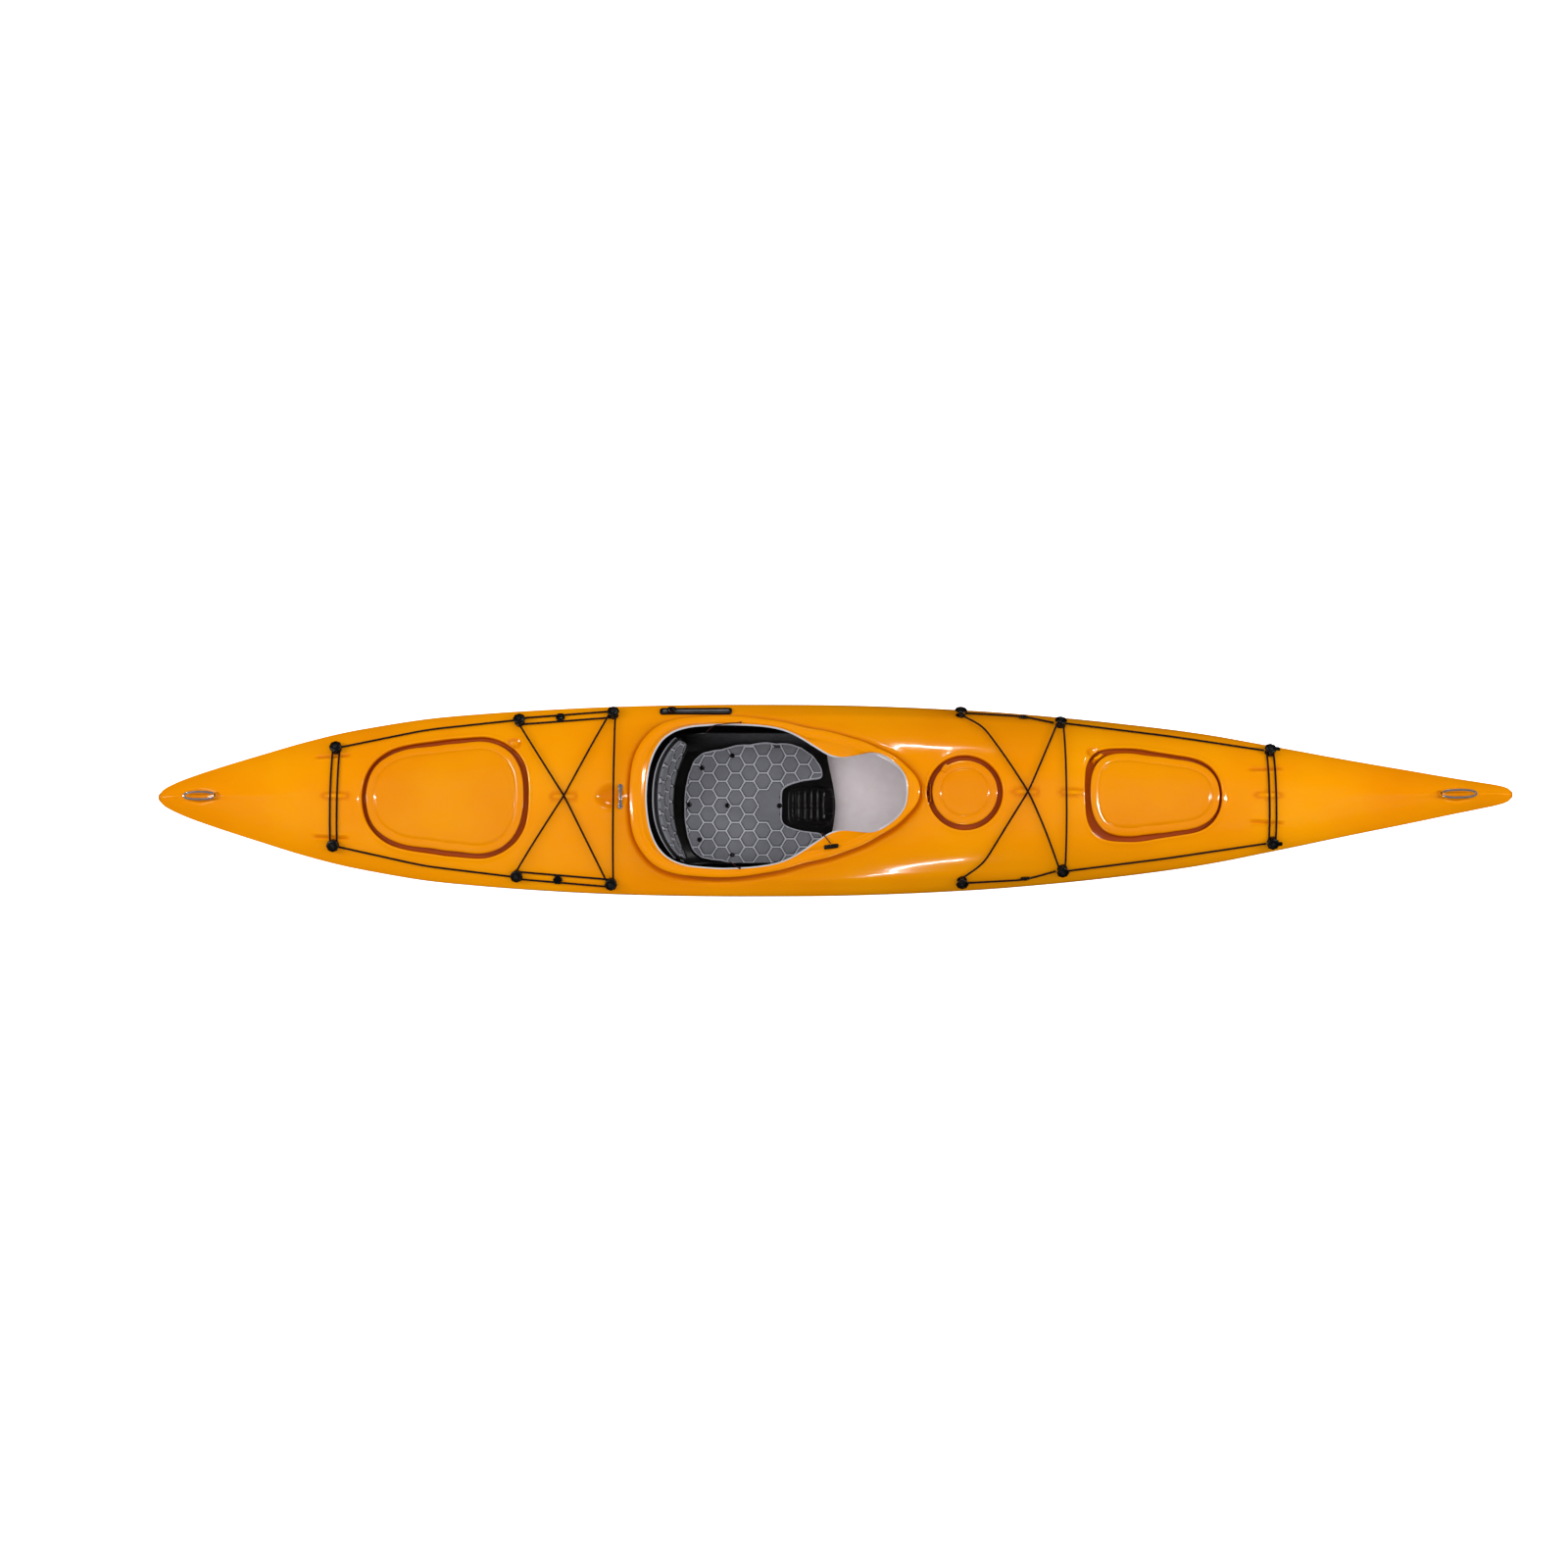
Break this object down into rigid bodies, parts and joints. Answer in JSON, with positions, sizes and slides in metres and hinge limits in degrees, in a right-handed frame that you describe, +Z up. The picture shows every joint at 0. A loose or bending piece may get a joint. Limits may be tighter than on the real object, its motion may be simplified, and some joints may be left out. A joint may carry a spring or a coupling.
{
  "type": "sea touring kayak",
  "caption": "Hard-shell touring kayak with keyhole cockpit, padded seat, oval and round hatches, deck bungees and a drop-down skeg.",
  "frame": {"origin": "bottom centre of the bounding box: on the keel, under the middle of the length", "axes": "+X towards the bow, +Y to port, +Z up"},
  "size_m": [4.2, 0.6052, 0.3602],
  "materials": {
    "shell_orange": "glossy thermoformed sheet, pale inside",
    "hatch_orange": "glossy",
    "inner_pale": "satin",
    "seal_rubber": "matt",
    "black_plastic": "satin moulded",
    "foam_grey": "matt foam with raised six-sided cells",
    "webbing_black": "woven",
    "rail_aluminium": "satin",
    "stainless": "polished",
    "cord_dark": "woven cover"
  },
  "bodies": {
    "kayak": {"adjuster_cord": "cord_dark", "adjuster_toggle": "black_plastic", "bow_deck_line_port": "cord_dark", "bow_deck_line_stbd": "cord_dark", "bow_end_bungee": "cord_dark", "bow_handle_ring": "stainless", "bow_ring_saddle": "black_plastic", "cockpit_coaming": "shell_orange", "day_pod": "black_plastic", "deck_fitting_bow_port": "black_plastic", "deck_fitting_bow_stbd": "black_plastic", "deck_fitting_front_a_port": "black_plastic", "deck_fitting_front_a_stbd": "black_plastic", "deck_fitting_front_b_port": "black_plastic", "deck_fitting_front_b_stbd": "black_plastic", "deck_fitting_rear_a_port": "black_plastic", "deck_fitting_rear_a_stbd": "black_plastic", "deck_fitting_rear_b_port": "black_plastic", "deck_fitting_rear_b_stbd": "black_plastic", "deck_fitting_stern_port": "black_plastic", "deck_fitting_stern_stbd": "black_plastic", "deck_shell": "shell_orange", "footrest_rail_port": "rail_aluminium", "footrest_rail_stbd": "rail_aluminium", "front_bulkhead": "inner_pale", "front_cross_bungee": "cord_dark", "front_side_bungee_port": "cord_dark", "front_side_bungee_stbd": "cord_dark", "hull_shell": "shell_orange", "rear_bulkhead": "inner_pale", "rear_cross_bungee": "cord_dark", "rear_side_bungee_port": "cord_dark", "rear_side_bungee_stbd": "cord_dark", "seat_pad": "foam_grey", "seat_pan": "black_plastic", "security_bar": "stainless", "skeg_box": "inner_pale", "skeg_pivot_pin": "stainless", "skeg_slider_track": "black_plastic", "stern_deck_line_port": "cord_dark", "stern_deck_line_stbd": "cord_dark", "stern_end_bungee": "cord_dark", "stern_handle_ring": "stainless", "stern_ring_saddle": "black_plastic", "strap_tail_port": "cord_dark", "strap_tail_stbd": "cord_dark"},
    "rear_hatch": {"rear_hatch_cover": "hatch_orange", "rear_hatch_seal": "seal_rubber"},
    "front_hatch": {"front_hatch_cover": "hatch_orange", "front_hatch_seal": "seal_rubber"},
    "day_hatch": {"day_hatch_cover": "hatch_orange", "day_hatch_seal": "seal_rubber"},
    "backrest": {"backrest_shell": "black_plastic", "backrest_pad": "foam_grey", "backrest_strap": "webbing_black"},
    "pedal_port": {"footrest_pedal_port": "black_plastic"},
    "pedal_stbd": {"footrest_pedal_stbd": "black_plastic"},
    "skeg": {"skeg_blade": "black_plastic"},
    "skeg_slider": {"skeg_slider_knob": "black_plastic"}
  },
  "joints": [
    {"name": "rear_hatch_lift", "type": "slide", "parent": "kayak", "child": "rear_hatch", "axis": [0, 0, 1], "range_m": [0, 0.15]},
    {"name": "front_hatch_lift", "type": "slide", "parent": "kayak", "child": "front_hatch", "axis": [0, 0, 1], "range_m": [0, 0.15]},
    {"name": "day_hatch_lift", "type": "slide", "parent": "kayak", "child": "day_hatch", "axis": [0, 0, 1], "range_m": [0, 0.15]},
    {"name": "backrest_tilt", "type": "hinge", "parent": "kayak", "child": "backrest", "pos_m": [-0.53, 0, 0.17], "axis": [0, 1, 0], "range_deg": [0, 22]},
    {"name": "pedal_port_slide", "type": "slide", "parent": "kayak", "child": "pedal_port", "axis": [0.9976, -0.0698, 0], "range_m": [-0.13, 0.13]},
    {"name": "pedal_stbd_slide", "type": "slide", "parent": "kayak", "child": "pedal_stbd", "axis": [0.9976, 0.0698, 0], "range_m": [-0.13, 0.13]},
    {"name": "skeg_hinge", "type": "hinge", "parent": "kayak", "child": "skeg", "pos_m": [-1.492, 0, 0.066], "axis": [0, -1, 0], "range_deg": [0, 55]},
    {"name": "skeg_slider_slide", "type": "slide", "parent": "kayak", "child": "skeg_slider", "axis": [0.9996, 0, 0.0292], "range_m": [0, 0.151]}
  ],
  "couplings": [
    {"joint": "skeg_slider_slide", "follows": "skeg_hinge", "m_per_rad": 0.157}
  ]
}
